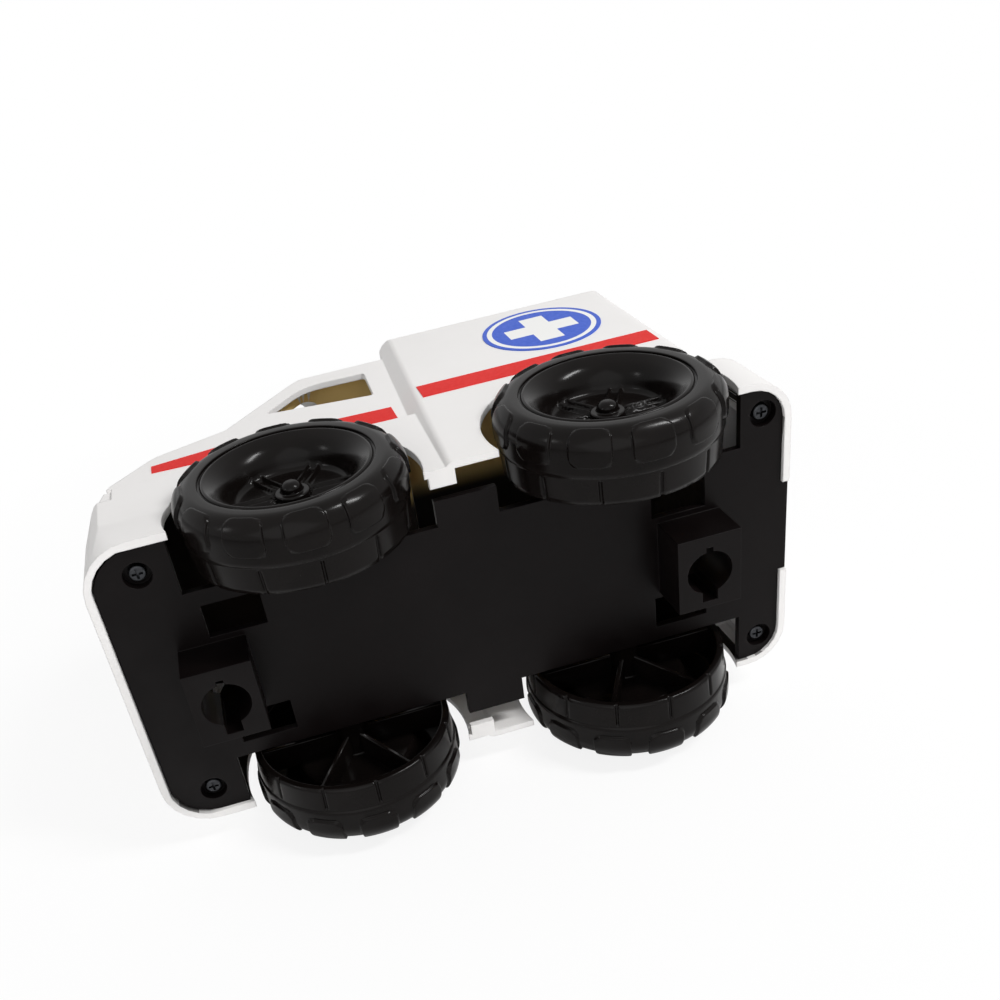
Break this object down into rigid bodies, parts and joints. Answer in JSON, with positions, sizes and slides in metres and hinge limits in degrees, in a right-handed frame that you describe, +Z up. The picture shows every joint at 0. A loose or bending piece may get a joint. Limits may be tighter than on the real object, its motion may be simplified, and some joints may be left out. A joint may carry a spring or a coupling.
{
  "type": "toy ambulance",
  "caption": "Toy ambulance: hollow white shell with open cab windows, black screwed base plate with keyed sockets, and free-rolling axles carrying large hollow wheels.",
  "frame": {"origin": "on the ground, under the middle of the body's length and width", "axes": "+X forward to the nose, +Y to the vehicle's left, +Z up"},
  "size_m": [0.214, 0.1174, 0.142],
  "materials": {
    "white_abs": "moulded white plastic, satin gloss",
    "black_abs": "moulded black plastic, satin",
    "wheel_black": "moulded black plastic, glossy",
    "steel": "zinc-plated steel",
    "stripe_red": "printed film sticker, glossy",
    "emblem_blue": "printed film sticker, glossy"
  },
  "bodies": {
    "vehicle": {"body_shell": "white_abs", "chassis": "black_abs", "chassis_screws": "steel", "stripe_cab_left": "stripe_red", "stripe_cab_right": "stripe_red", "stripe_box_left": "stripe_red", "stripe_box_right": "stripe_red", "emblem_left": "emblem_blue", "emblem_right": "emblem_blue"},
    "front_wheelset": {"front_axle": "steel", "wheel_front_left": "wheel_black", "wheel_front_right": "wheel_black", "axle_cap_front_left": "wheel_black", "axle_cap_front_right": "wheel_black"},
    "rear_wheelset": {"rear_axle": "steel", "wheel_rear_left": "wheel_black", "wheel_rear_right": "wheel_black", "axle_cap_rear_left": "wheel_black", "axle_cap_rear_right": "wheel_black"}
  },
  "joints": [
    {"name": "front_axle_spin", "type": "hinge", "parent": "vehicle", "child": "front_wheelset", "pos_m": [0.043, 0, 0.0344], "axis": [0, 1, 0], "continuous": true},
    {"name": "rear_axle_spin", "type": "hinge", "parent": "vehicle", "child": "rear_wheelset", "pos_m": [-0.053, 0, 0.0344], "axis": [0, 1, 0], "continuous": true}
  ]
}
